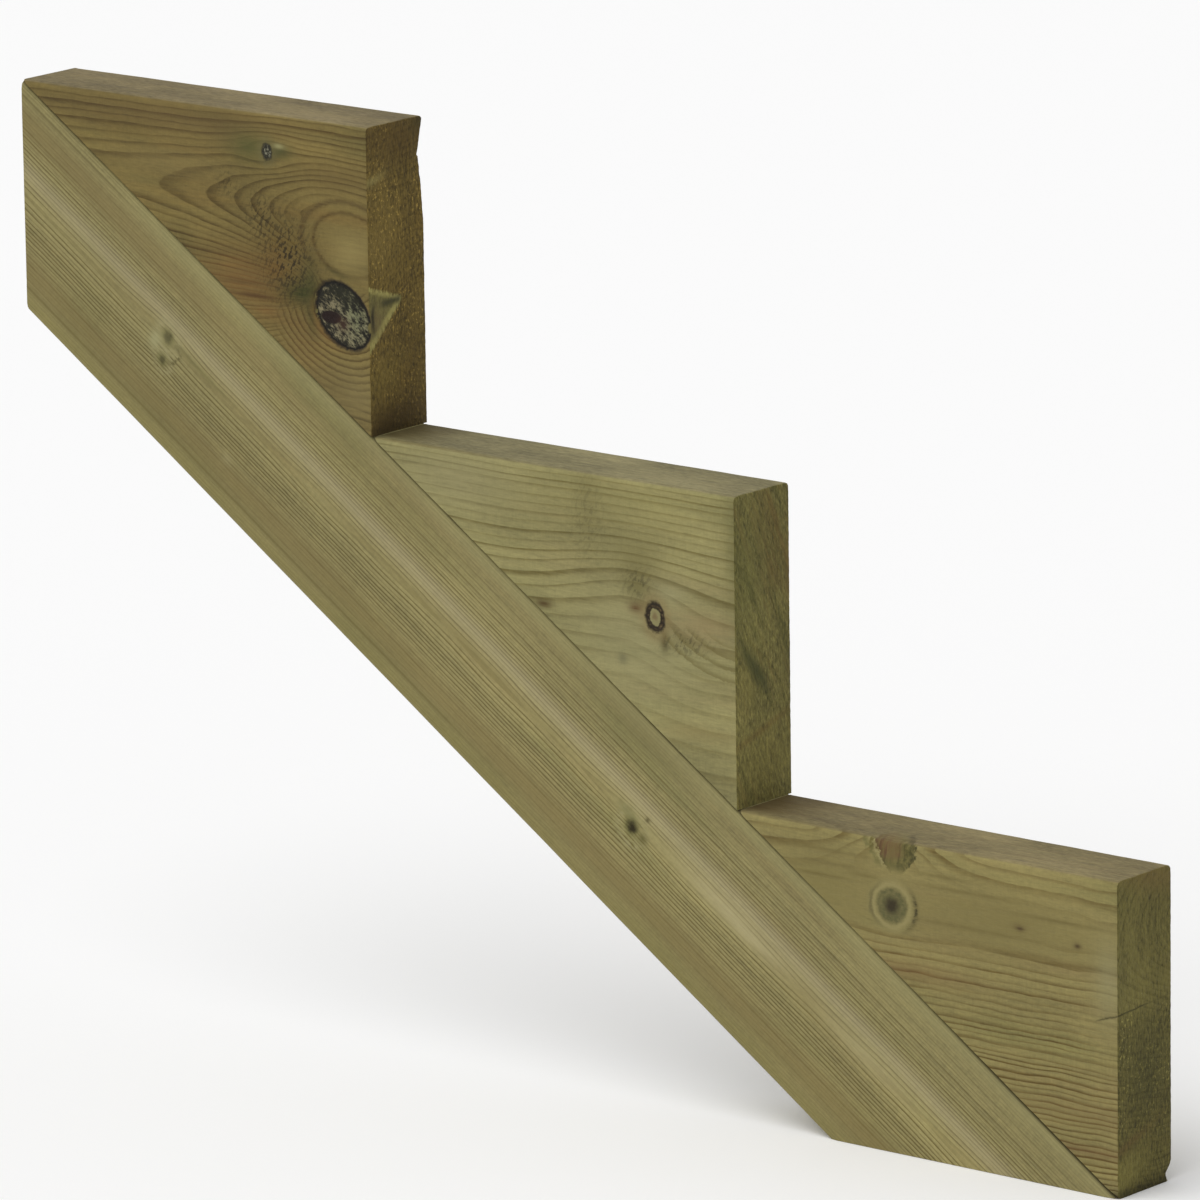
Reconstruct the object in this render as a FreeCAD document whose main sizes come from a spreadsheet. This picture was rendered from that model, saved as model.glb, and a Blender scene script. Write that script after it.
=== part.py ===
import FreeCAD, Part
import Sketcher
import os

# Three-step stair stringer of treated softwood: a carriage board on the slope, three cut step blocks
# seated on its upper edge, and the long screws that hold the blocks down from below.
# Every piece is drawn on the bench, X along the joint line and Z square to it, then leaned to the
# pitch of the stair. World frame: +X down the steps, -Y the front face, +Z up, origin at the middle
# of the level-cut foot.

BLOCKS = ("top_step_block", "middle_step_block", "bottom_step_block")
LAST = len(BLOCKS) - 1

# Rows of screws down the board: name, place of the first along the joint, and how many, one to a step.
SCREW_ROWS = (
    ("mid", "Sizes.screw_mid", len(BLOCKS)),
    ("far", "Sizes.screw_far", LAST),
    ("near", "%d * Sizes.joint_length + Sizes.screw_near" % LAST, 1),
)

doc = FreeCAD.newDocument("stair_stringer")
sheet = doc.addObject("Spreadsheet::Sheet", "Sizes")

# Driving sizes in millimetres; the shares are plain ratios.
SIZES = {
    # Timber
    "going": "250",  # level length of one step
    "rise": "170",  # height of one step, the full width of the block stock
    "timber_thickness": "47",  # thickness of board and blocks
    "board_depth": "108",  # depth of the carriage board, square to the slope
    "board_arris": "4",  # eased long edges of the board
    "block_arris": "3",  # eased long edges of the blocks' top faces
    # Screws
    "screw_head": "12",  # countersunk head diameter
    "screw_rim": "0.8",  # straight rim of the head
    "screw_sink": "0.6",  # head set below the board's underside
    "screw_shank": "4.4",  # plain shank diameter
    "screw_thread": "6",  # outside diameter of the thread
    "thread_length": "60",  # threaded length with the point
    "screw_point": "7",  # length of the point
    "hole_clearance": "0.5",  # play of the thread in the board's hole, on diameter
    "drive_outer": "5.6",  # star drive across the points
    "drive_inner": "4",  # star drive across the hollows
    "drive_depth": "2.6",  # depth of the star drive
    "screw_edge": "14",  # lowest screw from the end of the board's underside
    "near_share": "0.72",  # upper screw of the bottom block over the lower one, along the joint
    "bite_share": "0.8",  # screw's reach into a block over the least height of wood above it
    # Wane on the top block's rear upright edge
    "wane_start": "1.5",  # top of the wane below the tread face
    "wane_drop": "20",  # from the top of the wane to its deepest point
    "wane_length": "56",  # from the top of the wane to its lower end
    "wane_depth": "4.8",  # greatest depth into the thickness
    "wane_step": "1.4",  # torn step under the deepest point
    "wane_run": "75",  # length of the wane along the grain
    # Torn knot on the bottom block's front top edge
    "tear_place": "99",  # middle of the torn knot from the block's upper tip
    "tear_length": "30",  # length along the edge
    "tear_depth": "1.6",  # depth below the eased edge
    # Broken rear corner at the bottom block's foot
    "chip_height": "10",  # up the rear upright edge
    "chip_width": "5",  # across the foot
    "chip_lip": "0.9",  # splinter left standing in the break
    "chip_run": "16",  # length of the break along the grain
}

# What follows from the driving sizes.
FOLLOWS = {
    "steps": "%d" % len(BLOCKS),  # step blocks on the board
    "pitch": "=atan(rise / going)",  # slope of the board
    "joint_length": "=sqrt(going ^ 2 + rise ^ 2)",  # seat of one block along the board
    "half": "=timber_thickness / 2",  # mid-plane to either face
    "foot_length": "=board_depth / sin(pitch)",  # length of the level cut
    "tip_x": "=foot_length / 2 - steps * going",  # upper tip in the world frame
    "tip_z": "=steps * rise",  # upper tip in the world frame
    "screw_mid": "=joint_length - board_depth / tan(pitch) - screw_edge",  # screw that every block has
    "screw_near": "=near_share * screw_mid",  # second screw of the bottom block, over the thin foot
    "screw_far": "=joint_length - screw_mid * tan(pitch) ^ 2",  # second screw of the other blocks
    "screw_bite": "=bite_share * screw_near * tan(pitch)",  # screw's reach into a block
    "head_face": "=board_depth - screw_sink",  # outer face of the head below the joint
    "head_seat": "=head_face - screw_rim",  # wide end of the countersink below the joint
    "neck": "=head_seat - (screw_head - screw_shank) / 2",  # shank under the head, below the joint
    "board_hole": "=screw_thread + hole_clearance",  # clearance hole in the board, diameter
    "board_cone": "=head_seat - (screw_head - board_hole) / 2",  # narrow end of the countersink
    "thread_start": "=screw_bite - thread_length",  # start of the thread from the joint
    "tear_bow": "=(tear_length ^ 2 / 4 + tear_depth ^ 2) / (2 * tear_depth)",  # bow of the torn edge
}

for row, (alias, text) in enumerate(list(SIZES.items()) + list(FOLLOWS.items()), 1):
    sheet.set("A%d" % row, alias)
    sheet.set("B%d" % row, text)
    sheet.setAlias("B%d" % row, alias)
doc.recompute()


def amount(text):
    result = sheet.evalExpression(text)
    return float(getattr(result, "Value", result))


def origin_part(body, role):
    return [part for part in body.Origin.OriginFeatures if part.Role == role][0]


def new_body(label, step):
    """Body drawn on the bench and leaned to the pitch, its tip at the given step."""
    body = doc.addObject("PartDesign::Body", label)
    body.Label = label
    body.Placement.Rotation = FreeCAD.Rotation(FreeCAD.Vector(0, 1, 0), 1)
    body.setExpression("Placement.Rotation.Angle", "Sizes.pitch")
    body.setExpression("Placement.Base.x", "Sizes.tip_x + %d * Sizes.going" % step)
    body.setExpression("Placement.Base.z", "Sizes.tip_z - %d * Sizes.rise" % step)
    return body


def new_sketch(body, name, role):
    sketch = body.newObject("Sketcher::SketchObject", name)
    sketch.AttachmentSupport = [(origin_part(body, role), "")]
    sketch.MapMode = "FlatFace"
    return sketch


def closed_lines(sketch, points):
    count = len(points)
    for k in range(count):
        sketch.addGeometry(Part.LineSegment(points[k], points[(k + 1) % count]), False)
    for k in range(count):
        sketch.addConstraint(Sketcher.Constraint("Coincident", k, 2, (k + 1) % count, 1))


def bind(sketch, constraint, text):
    index = sketch.addConstraint(constraint)
    sketch.setExpression("Constraints[%d]" % index, text)


def hold(sketch, line, across, up):
    """Keep the start of a line at two named distances from the sketch's origin."""
    for kind, axis, text in (("DistanceX", -2, across), ("DistanceY", -1, up)):
        if abs(amount(text)) < 1e-6:
            sketch.addConstraint(Sketcher.Constraint("PointOnObject", line, 1, axis))
        else:
            bind(sketch, Sketcher.Constraint(kind, -1, 1, line, 1, amount(text)), text)


def outline(sketch, corners):
    """Closed outline whose corners are pairs of expressions on the named sizes."""
    closed_lines(sketch, [FreeCAD.Vector(amount(across), amount(up), 0) for across, up in corners])
    for line, (across, up) in enumerate(corners):
        hold(sketch, line, across, up)
    doc.recompute()
    return sketch


def feature(body, kind, name, **settings):
    made = body.newObject("PartDesign::" + kind, name)
    for key, setting in settings.items():
        setattr(made, key, setting)
    return made


def pad_through(body, sketch, name):
    pad = feature(body, "Pad", name, Profile=sketch, Midplane=True)
    pad.setExpression("Length", "Sizes.timber_thickness")
    doc.recompute()
    return pad


def ease(body, base, name, radius, picks):
    """Round the edges of the base whose two ends both satisfy the pick."""
    names = []
    for number, edge in enumerate(base.Shape.Edges, 1):
        ends = [vertex.Point for vertex in edge.Vertexes]
        if abs(ends[0].y - ends[-1].y) < 1e-6 and all(picks(end) for end in ends):
            names.append("Edge%d" % number)
    fillet = feature(body, "Fillet", name, Base=(base, names))
    fillet.setExpression("Radius", radius)
    doc.recompute()
    return fillet


def turned(body, kind, name, place, corners):
    """Full turn of a half outline about an axis square to the joint, at a place along the joint."""
    sketch = new_sketch(body, name + "_outline", "XZ_Plane")
    sketch.setExpression("AttachmentOffset.Base.x", place)
    outline(sketch, corners)
    made = feature(body, kind, name, Profile=sketch, ReferenceAxis=(sketch, ["V_Axis"]), Angle=360)
    doc.recompute()
    return made


def row(body, name, originals, count):
    """One copy to a step, down the board."""
    if count > 1:
        pattern = feature(body, "LinearPattern", name, Originals=originals, Occurrences=count)
        pattern.Direction = (origin_part(body, "X_Axis"), [""])
        pattern.setExpression("Length", "%d * Sizes.joint_length" % (count - 1))
        body.Tip = pattern
        doc.recompute()


def upright_sketch(body, name, inset):
    """Sketch square to the grain of a block: origin at the top of the riser face less the inset,
    X to the rear, Y straight up."""
    sketch = new_sketch(body, name, "YZ_Plane")
    sketch.AttachmentOffset.Rotation = FreeCAD.Rotation(FreeCAD.Vector(1, 0, 0), -1)
    sketch.setExpression("AttachmentOffset.Rotation.Angle", "-Sizes.pitch")
    sketch.setExpression("AttachmentOffset.Base.y", "(Sizes.going - %s) * sin(Sizes.pitch)" % inset)
    sketch.setExpression("AttachmentOffset.Base.z", "(Sizes.going - %s) * cos(Sizes.pitch)" % inset)
    return sketch


def rear_break(body, name, depth, run, corners):
    """Break in the rear upright edge that dies out along the grain."""
    mouth = outline(upright_sketch(body, name + "_mouth", "0"), corners)
    shifted = [("%s + %s" % (across, depth), up) for across, up in corners]
    end = outline(upright_sketch(body, name + "_end", run), shifted)
    feature(body, "SubtractiveLoft", name, Profile=mouth, Sections=[end], Ruled=True)
    doc.recompute()


def carriage_board():
    body = new_body("carriage_board", 0)
    run = "Sizes.steps * Sizes.joint_length"
    depth = "Sizes.board_depth"
    corners = [
        ("0", "0"),
        (run, "0"),
        ("%s - %s / tan(Sizes.pitch)" % (run, depth), "-" + depth),
        ("%s * tan(Sizes.pitch)" % depth, "-" + depth),
    ]
    side = outline(new_sketch(body, "board_side", "XZ_Plane"), corners)
    pad = pad_through(body, side, "board_stock")
    low = -amount(depth)
    ease(body, pad, "board_edges", "Sizes.board_arris",
         lambda end: min(abs(end.z), abs(end.z - low)) < 1e-6)
    hole = [
        ("0", "-" + depth),
        ("Sizes.screw_head / 2", "-" + depth),
        ("Sizes.screw_head / 2", "-Sizes.head_seat"),
        ("Sizes.board_hole / 2", "-Sizes.board_cone"),
        ("Sizes.board_hole / 2", "0"),
        ("0", "0"),
    ]
    for name, place, count in SCREW_ROWS:
        first = turned(body, "Groove", "board_hole_" + name, place, hole)
        row(body, "board_holes_" + name, [first], count)
    return body


def step_block(label, step, second):
    body = new_body(label, step)
    side = new_sketch(body, label + "_side", "XZ_Plane")
    lean = "Sizes.going * %s(Sizes.pitch)"
    tip = FreeCAD.Vector(0, 0, 0)
    foot = FreeCAD.Vector(amount("Sizes.joint_length"), 0, 0)
    corner = FreeCAD.Vector(amount(lean % "cos"), amount(lean % "sin"), 0)
    closed_lines(side, [tip, foot, corner])
    side.addConstraint(Sketcher.Constraint("Coincident", 0, 1, -1, 1))
    side.addConstraint(Sketcher.Constraint("PointOnObject", 0, 2, -1))
    side.addConstraint(Sketcher.Constraint("Perpendicular", 1, 2))
    bind(side, Sketcher.Constraint("Distance", 1, amount("Sizes.rise")), "Sizes.rise")
    bind(side, Sketcher.Constraint("Distance", 2, amount("Sizes.going")), "Sizes.going")
    doc.recompute()
    pad = pad_through(body, side, label + "_stock")
    ease(body, pad, label + "_edges", "Sizes.block_arris",
         lambda end: abs(end.z - end.x * corner.y / corner.x) < 1e-6)
    pilot = [
        ("0", "0"),
        ("Sizes.screw_thread / 2", "0"),
        ("Sizes.screw_thread / 2", "Sizes.screw_bite - Sizes.screw_point"),
        ("0", "Sizes.screw_bite"),
    ]
    turned(body, "Groove", label + "_pilot", "Sizes.screw_mid", pilot)
    turned(body, "Groove", label + "_second_pilot", second, pilot)
    return body


def top_wane(body):
    over = "Sizes.half + Sizes.wane_depth"
    bed = "-(Sizes.wane_start + Sizes.wane_drop)"
    low = "-(Sizes.wane_start + Sizes.wane_length)"
    corners = [
        ("Sizes.half", "-Sizes.wane_start"),
        ("Sizes.half - Sizes.wane_depth", bed),
        ("Sizes.half - Sizes.wane_depth + Sizes.wane_step", bed + " - Sizes.wane_step"),
        ("Sizes.half", low),
        (over, low),
        (over, "-Sizes.wane_start"),
    ]
    rear_break(body, "wane", "Sizes.wane_depth", "Sizes.wane_run", corners)


def foot_chip(body):
    over = "Sizes.half + Sizes.chip_width"
    foot = "-Sizes.rise"
    inner = "Sizes.half - 0.6 * Sizes.chip_width"
    corners = [
        ("Sizes.half", foot + " + Sizes.chip_height"),
        (inner, foot + " + 0.45 * Sizes.chip_height"),
        (inner + " + Sizes.chip_lip", foot + " + 0.23 * Sizes.chip_height"),
        ("Sizes.half - Sizes.chip_width", foot),
        ("Sizes.half - Sizes.chip_width", foot + " - Sizes.chip_width"),
        (over, foot + " - Sizes.chip_width"),
        (over, foot + " + Sizes.chip_height"),
    ]
    rear_break(body, "chip", "Sizes.chip_width", "Sizes.chip_run", corners)


def torn_edge(body):
    """Shallow bow cut across the front top edge, where the knot has torn out."""
    bow = feature(body, "SubtractiveCylinder", "torn_edge")
    bow.setExpression("Radius", "Sizes.tear_bow")
    bow.setExpression("Height", "Sizes.timber_thickness")
    out = "(Sizes.tear_bow - Sizes.tear_depth - (sqrt(2) - 1) * Sizes.block_arris) / sqrt(2)"
    reach = "Sizes.timber_thickness / 2 / sqrt(2)"
    spot = "vector(Sizes.tear_place; -Sizes.half - %s - %s; %s - %s)" % (out, reach, out, reach)
    turn = "rotation(vector(0; 1; 0); -Sizes.pitch)"
    bow.setExpression(
        "Placement",
        "placement(vector(0; 0; 0); %s) * placement(%s; rotation(vector(1; 0; 0); -45 deg))" % (turn, spot))
    doc.recompute()


def block_screws():
    body = new_body("block_screws", 0)
    screw = [
        ("0", "-Sizes.head_face"),
        ("Sizes.screw_head / 2", "-Sizes.head_face"),
        ("Sizes.screw_head / 2", "-Sizes.head_seat"),
        ("Sizes.screw_shank / 2", "-Sizes.neck"),
        ("Sizes.screw_shank / 2", "Sizes.thread_start"),
        ("Sizes.screw_thread / 2", "Sizes.thread_start + (Sizes.screw_thread - Sizes.screw_shank) / 2"),
        ("Sizes.screw_thread / 2", "Sizes.screw_bite - Sizes.screw_point"),
        ("0", "Sizes.screw_bite"),
    ]
    star = []
    for k in range(12):
        width = "Sizes.drive_inner" if k % 2 else "Sizes.drive_outer"
        star.append(("%s / 2 * cos(%d deg)" % (width, 30 * k), "%s / 2 * sin(%d deg)" % (width, 30 * k)))
    for name, place, count in SCREW_ROWS:
        shaft = turned(body, "Revolution", "screw_" + name, place, screw)
        drive = new_sketch(body, "drive_%s_outline" % name, "XY_Plane")
        drive.setExpression("AttachmentOffset.Base.x", place)
        drive.setExpression("AttachmentOffset.Base.z", "-Sizes.head_face")
        outline(drive, star)
        recess = feature(body, "Pocket", "drive_" + name, Profile=drive, Reversed=True)
        recess.setExpression("Length", "Sizes.drive_depth")
        doc.recompute()
        row(body, "screws_" + name, [shaft, recess], count)
    return body


pieces = [carriage_board()]
for step, label in enumerate(BLOCKS):
    pieces.append(step_block(label, step, "Sizes.screw_near" if step == LAST else "Sizes.screw_far"))
top_wane(pieces[1])
torn_edge(pieces[-1])
foot_chip(pieces[-1])
pieces.append(block_screws())
doc.recompute()

for item in doc.Objects:
    if "Invalid" in item.State or "Error" in item.State:
        raise RuntimeError("%s did not build: %s" % (item.Label, item.State))

os.makedirs("parts", exist_ok=True)
for piece in pieces:
    if piece.Shape.isNull() or not piece.Shape.isValid():
        raise RuntimeError("%s has no valid shape" % piece.Label)
    piece.Shape.exportStep("parts/%s.step" % piece.Label)
    box = piece.Shape.optimalBoundingBox(False)
    print(piece.Label, len(piece.Shape.Solids), "solid", round(piece.Shape.Volume / 1000, 2), "cm3",
          [round(v, 2) for v in (box.XMin, box.XMax, box.YMin, box.YMax, box.ZMin, box.ZMax)])
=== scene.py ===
"""Stair stringer in treated softwood: carriage board, three step blocks, long screws and a plain stage."""

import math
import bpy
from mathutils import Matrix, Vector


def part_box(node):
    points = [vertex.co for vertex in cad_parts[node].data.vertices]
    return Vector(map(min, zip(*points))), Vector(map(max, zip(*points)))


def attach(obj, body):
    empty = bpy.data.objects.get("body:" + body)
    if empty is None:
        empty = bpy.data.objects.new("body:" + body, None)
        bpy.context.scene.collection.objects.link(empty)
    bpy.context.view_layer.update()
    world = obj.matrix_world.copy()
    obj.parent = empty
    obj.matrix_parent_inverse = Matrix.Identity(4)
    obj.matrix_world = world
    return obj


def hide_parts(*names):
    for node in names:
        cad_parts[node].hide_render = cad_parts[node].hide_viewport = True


bl_info = {
    "name": "Stair Stringer",
    "version": (1, 0, 0),
    "blender": (4, 5, 0),
    "location": "View3D > Sidebar > Stringer",
    "description": "Dresses the packed stair stringer as sawn, treated softwood",
    "category": "Object",
}

import bmesh
import bpy
from bpy.props import FloatProperty, FloatVectorProperty, PointerProperty
from mathutils import Euler, Matrix, Vector, noise

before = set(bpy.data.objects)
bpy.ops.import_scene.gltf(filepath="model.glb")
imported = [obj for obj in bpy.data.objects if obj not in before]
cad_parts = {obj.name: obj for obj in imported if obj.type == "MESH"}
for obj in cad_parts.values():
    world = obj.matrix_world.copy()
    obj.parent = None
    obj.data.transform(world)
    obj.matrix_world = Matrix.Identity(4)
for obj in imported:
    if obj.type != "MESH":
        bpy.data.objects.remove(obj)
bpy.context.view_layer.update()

MM = 0.001
BOARD = "carriage_board"
TOP = "top_step_block"
MIDDLE = "middle_step_block"
BOTTOM = "bottom_step_block"
SCREWS = "block_screws"

LOW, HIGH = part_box(MIDDLE)
GOING, THICKNESS, RISE = HIGH - LOW
PITCH = math.atan2(RISE, GOING)
BOARD_DEPTH = 2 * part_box(BOARD)[1].x * math.sin(PITCH)
STEPS = 3
KERF = 0.0001

# Places on the front faces, along and down in mm from a timber's tip, shared by shape and colour
UPPER_KNOT = (160.0, 51.0)
LOWER_KNOT = (556.0, 57.0)
SMALL_KNOT = (179.0, 21.0)
DEAD_KNOT = (230.9, 105.2)
DEAD_KNOT_SIZE = (20.8, 15.6)
DEAD_KNOT_TURN = math.radians(38.0)
MIDDLE_KNOT = (195.6, 72.4)
CRACK = (236.0, 76.0)
CRACK_FALL = 0.32
CROSSCUT_FROM = 249.4

# Screen colours of the pale wood, the rings, the warm bands and the green treatment
FINISHES = {
    "board": ((140, 131, 86), (98, 87, 48), (129, 115, 74), (116, 115, 68)),
    "top": ((116, 101, 55), (75, 60, 25), (116, 89, 43), (91, 88, 49)),
    "middle": ((139, 132, 86), (100, 90, 46), (140, 126, 84), (122, 120, 74)),
    "bottom": ((136, 125, 77), (92, 75, 34), (128, 109, 70), (117, 115, 66)),
}


def tip_of(node):
    """Front upper tip of a timber, where its lengths are measured from."""
    low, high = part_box(node)
    return Vector((low.x, -THICKNESS / 2, high.z))


def linear(red, green, blue):
    """Scene colour of a screen colour given in 0 to 255."""
    def channel(value):
        value /= 255
        return value / 12.92 if value <= 0.04045 else ((value + 0.055) / 1.055) ** 2.4
    return tuple(channel(value) for value in (red, green, blue))


def rgba(colour):
    return (colour[0], colour[1], colour[2], 1.0)


def tone_of(red, green, blue):
    """Socket colour of a screen colour."""
    return rgba(linear(red, green, blue))


def length(name, description, default):
    return FloatProperty(name=name, description=description, default=default, min=0.0, unit="LENGTH",
                         subtype="DISTANCE", precision=4)


def tint(name, description):
    return FloatVectorProperty(name=name, description=description, size=3, min=0.0, max=1.0, subtype="COLOR")


class STRINGER_PG_sizes(bpy.types.PropertyGroup):
    """Sizes of the timbers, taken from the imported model, and of their surface."""
    going: length("Going", "Level length of one step", GOING)
    rise: length("Rise", "Height of one step", RISE)
    thickness: length("Thickness", "Thickness of board and blocks", THICKNESS)
    board_depth: length("Board depth", "Depth of the board, square to the slope", BOARD_DEPTH)
    board_arris: length("Board arris", "Rounding of the board's long edges", 0.004)
    block_arris: length("Block arris", "Rounding of the blocks' top edges", 0.003)
    board_skin: length("Board skin", "Width of the board's surface faces", 0.00175)
    block_skin: length("Block skin", "Width of the blocks' surface faces", 0.00105)
    spare: length("Spare", "Extra length of the stock, sawn off at the joints", 0.005)
    wane_depth: length("Wane depth", "Bark edge missing from the top block's rear", 0.0046)
    head: length("Screw head", "Diameter of the countersunk heads", 0.012)
    edge: length("Screw edge", "Lowest screw from the end of the underside", 0.014)


class STRINGER_PG_finish(bpy.types.PropertyGroup):
    """Colours of one timber."""
    pale: tint("Pale wood", "Early wood between the rings")
    ring: tint("Ring", "Late wood lines")
    warm: tint("Warm", "Browner bands")
    green: tint("Treatment", "Green preservative stain")


class STRINGER_PG_settings(bpy.types.PropertyGroup):
    """All that can be changed on the stringer."""
    sizes: PointerProperty(type=STRINGER_PG_sizes)
    board: PointerProperty(type=STRINGER_PG_finish)
    top: PointerProperty(type=STRINGER_PG_finish)
    middle: PointerProperty(type=STRINGER_PG_finish)
    bottom: PointerProperty(type=STRINGER_PG_finish)


# Shader patterns


class Reading:
    """A value that varies over a surface. Sums on it become Math nodes."""

    def __init__(self, pattern, socket):
        self.pattern = pattern
        self.socket = socket

    def work(self, operation, *others):
        node = self.pattern.node("ShaderNodeMath", operation=operation)
        for socket, value in zip(node.inputs, (self, *others)):
            self.pattern.feed(socket, value)
        return Reading(self.pattern, node.outputs[0])

    def __add__(self, other):
        return self.work("ADD", other)

    __radd__ = __add__

    def __sub__(self, other):
        return self.work("SUBTRACT", other)

    def __rsub__(self, other):
        return self.work("MULTIPLY_ADD", -1.0, other)

    def __mul__(self, other):
        return self.work("MULTIPLY", other)

    __rmul__ = __mul__

    def __truediv__(self, other):
        return self.work("DIVIDE", other)

    def squared(self):
        return self.work("MULTIPLY", self)

    def root(self):
        return self.work("SQRT")

    def ease(self, start, end):
        """0 at start, 1 at end, smooth between."""
        node = self.pattern.node("ShaderNodeMapRange", interpolation_type="SMOOTHSTEP")
        for name, value in (("Value", self), ("From Min", start), ("From Max", end)):
            self.pattern.feed(node.inputs[name], value)
        return Reading(self.pattern, node.outputs["Result"])

    def band(self, centre, width):
        """1 at the centre, falling away on both sides."""
        return ((self - centre) / width).squared().work("MULTIPLY", -1.0).work("EXPONENT")


class Pattern:
    """A shader node tree and short calls for the nodes that timber needs."""

    def __init__(self, tree):
        self.tree = tree

    def node(self, kind, **settings):
        made = self.tree.nodes.new(kind)
        made.location = (190 * (len(self.tree.nodes) % 24), -260 * (len(self.tree.nodes) // 24))
        for name, value in settings.items():
            setattr(made, name, value)
        return made

    def feed(self, socket, value):
        if isinstance(value, Reading):
            self.tree.links.new(value.socket, socket)
        else:
            socket.default_value = value

    def parts(self, vector):
        node = self.node("ShaderNodeSeparateXYZ")
        self.feed(node.inputs[0], vector)
        return [Reading(self, output) for output in node.outputs]

    def joined(self, *values):
        node = self.node("ShaderNodeCombineXYZ")
        for socket, value in zip(node.inputs, values):
            self.feed(socket, value)
        return Reading(self, node.outputs[0])

    def vector(self, operation, first, second, output="Vector"):
        node = self.node("ShaderNodeVectorMath", operation=operation)
        self.feed(node.inputs[0], first)
        self.feed(node.inputs[1], second)
        return Reading(self, node.outputs[output])

    def dot(self, first, second):
        return self.vector("DOT_PRODUCT", first, second, "Value")

    def noise(self, vector, stretch, detail=2.0, rough=0.5):
        """Cloudy noise, 0 to 1 about 0.5; stretch is in waves to the millimetre."""
        node = self.node("ShaderNodeTexNoise")
        self.feed(node.inputs["Vector"], self.vector("MULTIPLY", vector, stretch))
        node.inputs["Scale"].default_value = 1.0
        node.inputs["Detail"].default_value = detail
        node.inputs["Roughness"].default_value = rough
        return Reading(self, node.outputs[0])

    def sway(self, reading, detail=1.0):
        """Noise along one reading, 0 to 1 about 0.5."""
        node = self.node("ShaderNodeTexNoise", noise_dimensions="1D")
        self.feed(node.inputs["W"], reading)
        node.inputs["Scale"].default_value = 1.0
        node.inputs["Detail"].default_value = detail
        return Reading(self, node.outputs[0])

    def chance(self, reading):
        node = self.node("ShaderNodeTexWhiteNoise", noise_dimensions="1D")
        self.feed(node.inputs["W"], reading)
        return Reading(self, node.outputs["Value"])

    def mix(self, share, first, second, blend="MIX"):
        node = self.node("ShaderNodeMix", data_type="RGBA", blend_type=blend)
        self.feed(node.inputs[0], share)
        self.feed(node.inputs[6], first)
        self.feed(node.inputs[7], second)
        return Reading(self, node.outputs[2])

    def lit(self, colour, strength):
        """Colour made lighter or darker by a reading about 1."""
        node = self.node("ShaderNodeVectorMath", operation="SCALE")
        self.feed(node.inputs[0], colour)
        self.feed(node.inputs["Scale"], strength)
        return Reading(self, node.outputs[0])

    def relief(self, shader, height, strength, distance):
        """Bump the shader's normal by a height."""
        bump = self.node("ShaderNodeBump")
        bump.inputs["Strength"].default_value = strength
        bump.inputs["Distance"].default_value = distance
        self.feed(bump.inputs["Height"], height)
        self.tree.links.new(bump.outputs["Normal"], shader.inputs["Normal"])

    def use(self, name, vector, **values):
        node = self.node("ShaderNodeGroup")
        node.node_tree = bpy.data.node_groups[name]
        self.feed(node.inputs["Log"], vector)
        for label, value in values.items():
            self.feed(node.inputs[label], value)
        return [Reading(self, output) for output in node.outputs]


def new_material(name):
    material = bpy.data.materials.new(name)
    material.use_nodes = True
    return material, material.node_tree.nodes["Principled BSDF"]


def new_group(name, inputs, outputs, vectors=("Log",)):
    """Shader group that reads the log frame: along the grain, through the thickness, down the face, in mm."""
    tree = bpy.data.node_groups.new(name, "ShaderNodeTree")
    for label in vectors:
        tree.interface.new_socket(label, in_out="INPUT", socket_type="NodeSocketVector")
    for label in inputs:
        tree.interface.new_socket(label, in_out="INPUT", socket_type="NodeSocketFloat")
    for label in outputs:
        tree.interface.new_socket(label, in_out="OUTPUT", socket_type="NodeSocketFloat")
    pattern = Pattern(tree)
    source = pattern.node("NodeGroupInput")
    read = {socket.name: Reading(pattern, socket) for socket in source.outputs if socket.name}
    end = pattern.node("NodeGroupOutput")

    def give(**results):
        for label, reading in results.items():
            pattern.feed(end.inputs[label], reading)
    return pattern, read, give


def growth_rings():
    """Late wood lines about the heart of the log, which lies beside the face."""
    pattern, read, give = new_group(
        "growth rings",
        ("Heart", "Away", "Lean", "Even", "Tighten", "Shift", "Wander", "Thin"), ("Line", "Band"))
    along, deep, down = pattern.parts(read["Log"])
    square = (down - read["Heart"]).squared() + (read["Lean"] * deep + read["Away"]).squared()
    slow = pattern.noise(read["Log"], (0.007, 0.03, 0.03), 2.0) - 0.5
    quick = pattern.noise(read["Log"], (0.035, 0.09, 0.09), 2.0) - 0.5
    wander = (slow + quick * 0.4) * read["Wander"]
    count = read["Even"] * square.root() + read["Tighten"] * square + read["Shift"] + wander
    count = count + (pattern.sway(count * 0.5) - 0.5) * 0.8
    season = count.work("FRACT")
    dark = pattern.chance(count.work("FLOOR")) * 0.6 + 0.4
    rise = season.ease(read["Thin"], 0.93).squared()
    broken = pattern.noise(read["Log"], (0.05, 0.5, 0.5), 2.0, 0.6) * 1.5 + 0.25
    give(Line=rise * season.ease(1.0, 0.94) * dark * broken)
    give(Band=pattern.sway(count * 0.21 + 4.0, 2.0))


def hill():
    """Soft round patch on the front face that dies out in depth."""
    pattern, read, give = new_group("hill", (), ("Mask",), ("Log", "Place", "Reach"))
    out = pattern.vector("DIVIDE", pattern.vector("SUBTRACT", read["Log"], read["Place"]), read["Reach"])
    give(Mask=(pattern.dot(out, out) * -1.0).work("EXPONENT"))


def knot_bend():
    """Rings parting above and below a knot."""
    pattern, read, give = new_group("knot bend", ("Push",), ("Shift",), ("Log", "Place", "Reach"))
    out = pattern.vector("DIVIDE", pattern.vector("SUBTRACT", read["Log"], read["Place"]), read["Reach"])
    down = pattern.parts(out)[2]
    give(Shift=down * (pattern.dot(out, out) * -1.0).work("EXPONENT") * read["Push"])


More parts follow.
